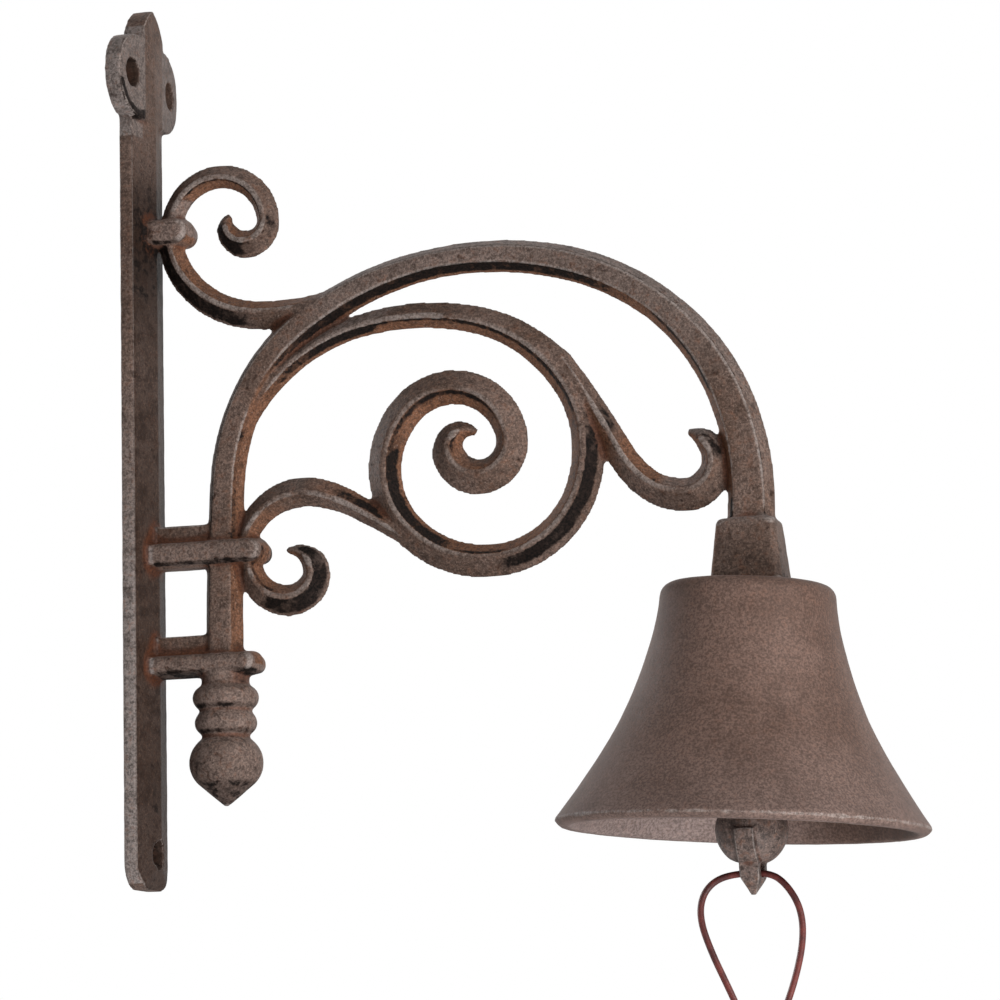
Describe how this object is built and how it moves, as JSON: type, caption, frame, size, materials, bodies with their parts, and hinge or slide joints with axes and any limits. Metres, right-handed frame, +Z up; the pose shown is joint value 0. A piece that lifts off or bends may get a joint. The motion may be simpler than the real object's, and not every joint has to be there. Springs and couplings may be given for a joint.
{
  "type": "wall bell on a scroll bracket",
  "caption": "Cast iron wall bell that hangs from a scrolled wall bracket, rung by a leather cord tied to its clapper.",
  "frame": {"origin": "on the wall plane, midway between the two upper screw holes", "axes": "+X out from the wall, +Z up, Y = 0 the casting's middle plane"},
  "size_m": [0.2575, 0.1172, 0.3744],
  "materials": {
    "bracket_iron": "cast iron, brown with dark hollows and worn ridges",
    "bell_iron": "cast iron, brown with dark hollows and worn ridges",
    "clapper_iron": "cast iron, brown with dark hollows and worn ridges",
    "fixing_steel": "dull dark steel",
    "link_steel": "dull dark steel wire",
    "cord_leather": "dark red-brown round leather lace"
  },
  "bodies": {
    "bracket": {"bracket": "bracket_iron", "bell": "bell_iron", "bell_bolt": "fixing_steel", "bell_washer": "fixing_steel", "bell_nut": "fixing_steel"},
    "link": {"clapper_link": "link_steel"},
    "clapper": {"clapper": "clapper_iron", "pull_cord": "cord_leather", "cord_knot": "cord_leather"}
  },
  "joints": [
    {"name": "link_swing", "type": "hinge", "parent": "bracket", "child": "link", "pos_m": [0.20165, 0, -0.20227], "axis": [0, 1, 0], "range_deg": [-26, 28]},
    {"name": "clapper_swing", "type": "hinge", "parent": "link", "child": "clapper", "pos_m": [0.20165, 0, -0.21167], "axis": [1, 0, 0], "range_deg": [-18, 18]}
  ]
}
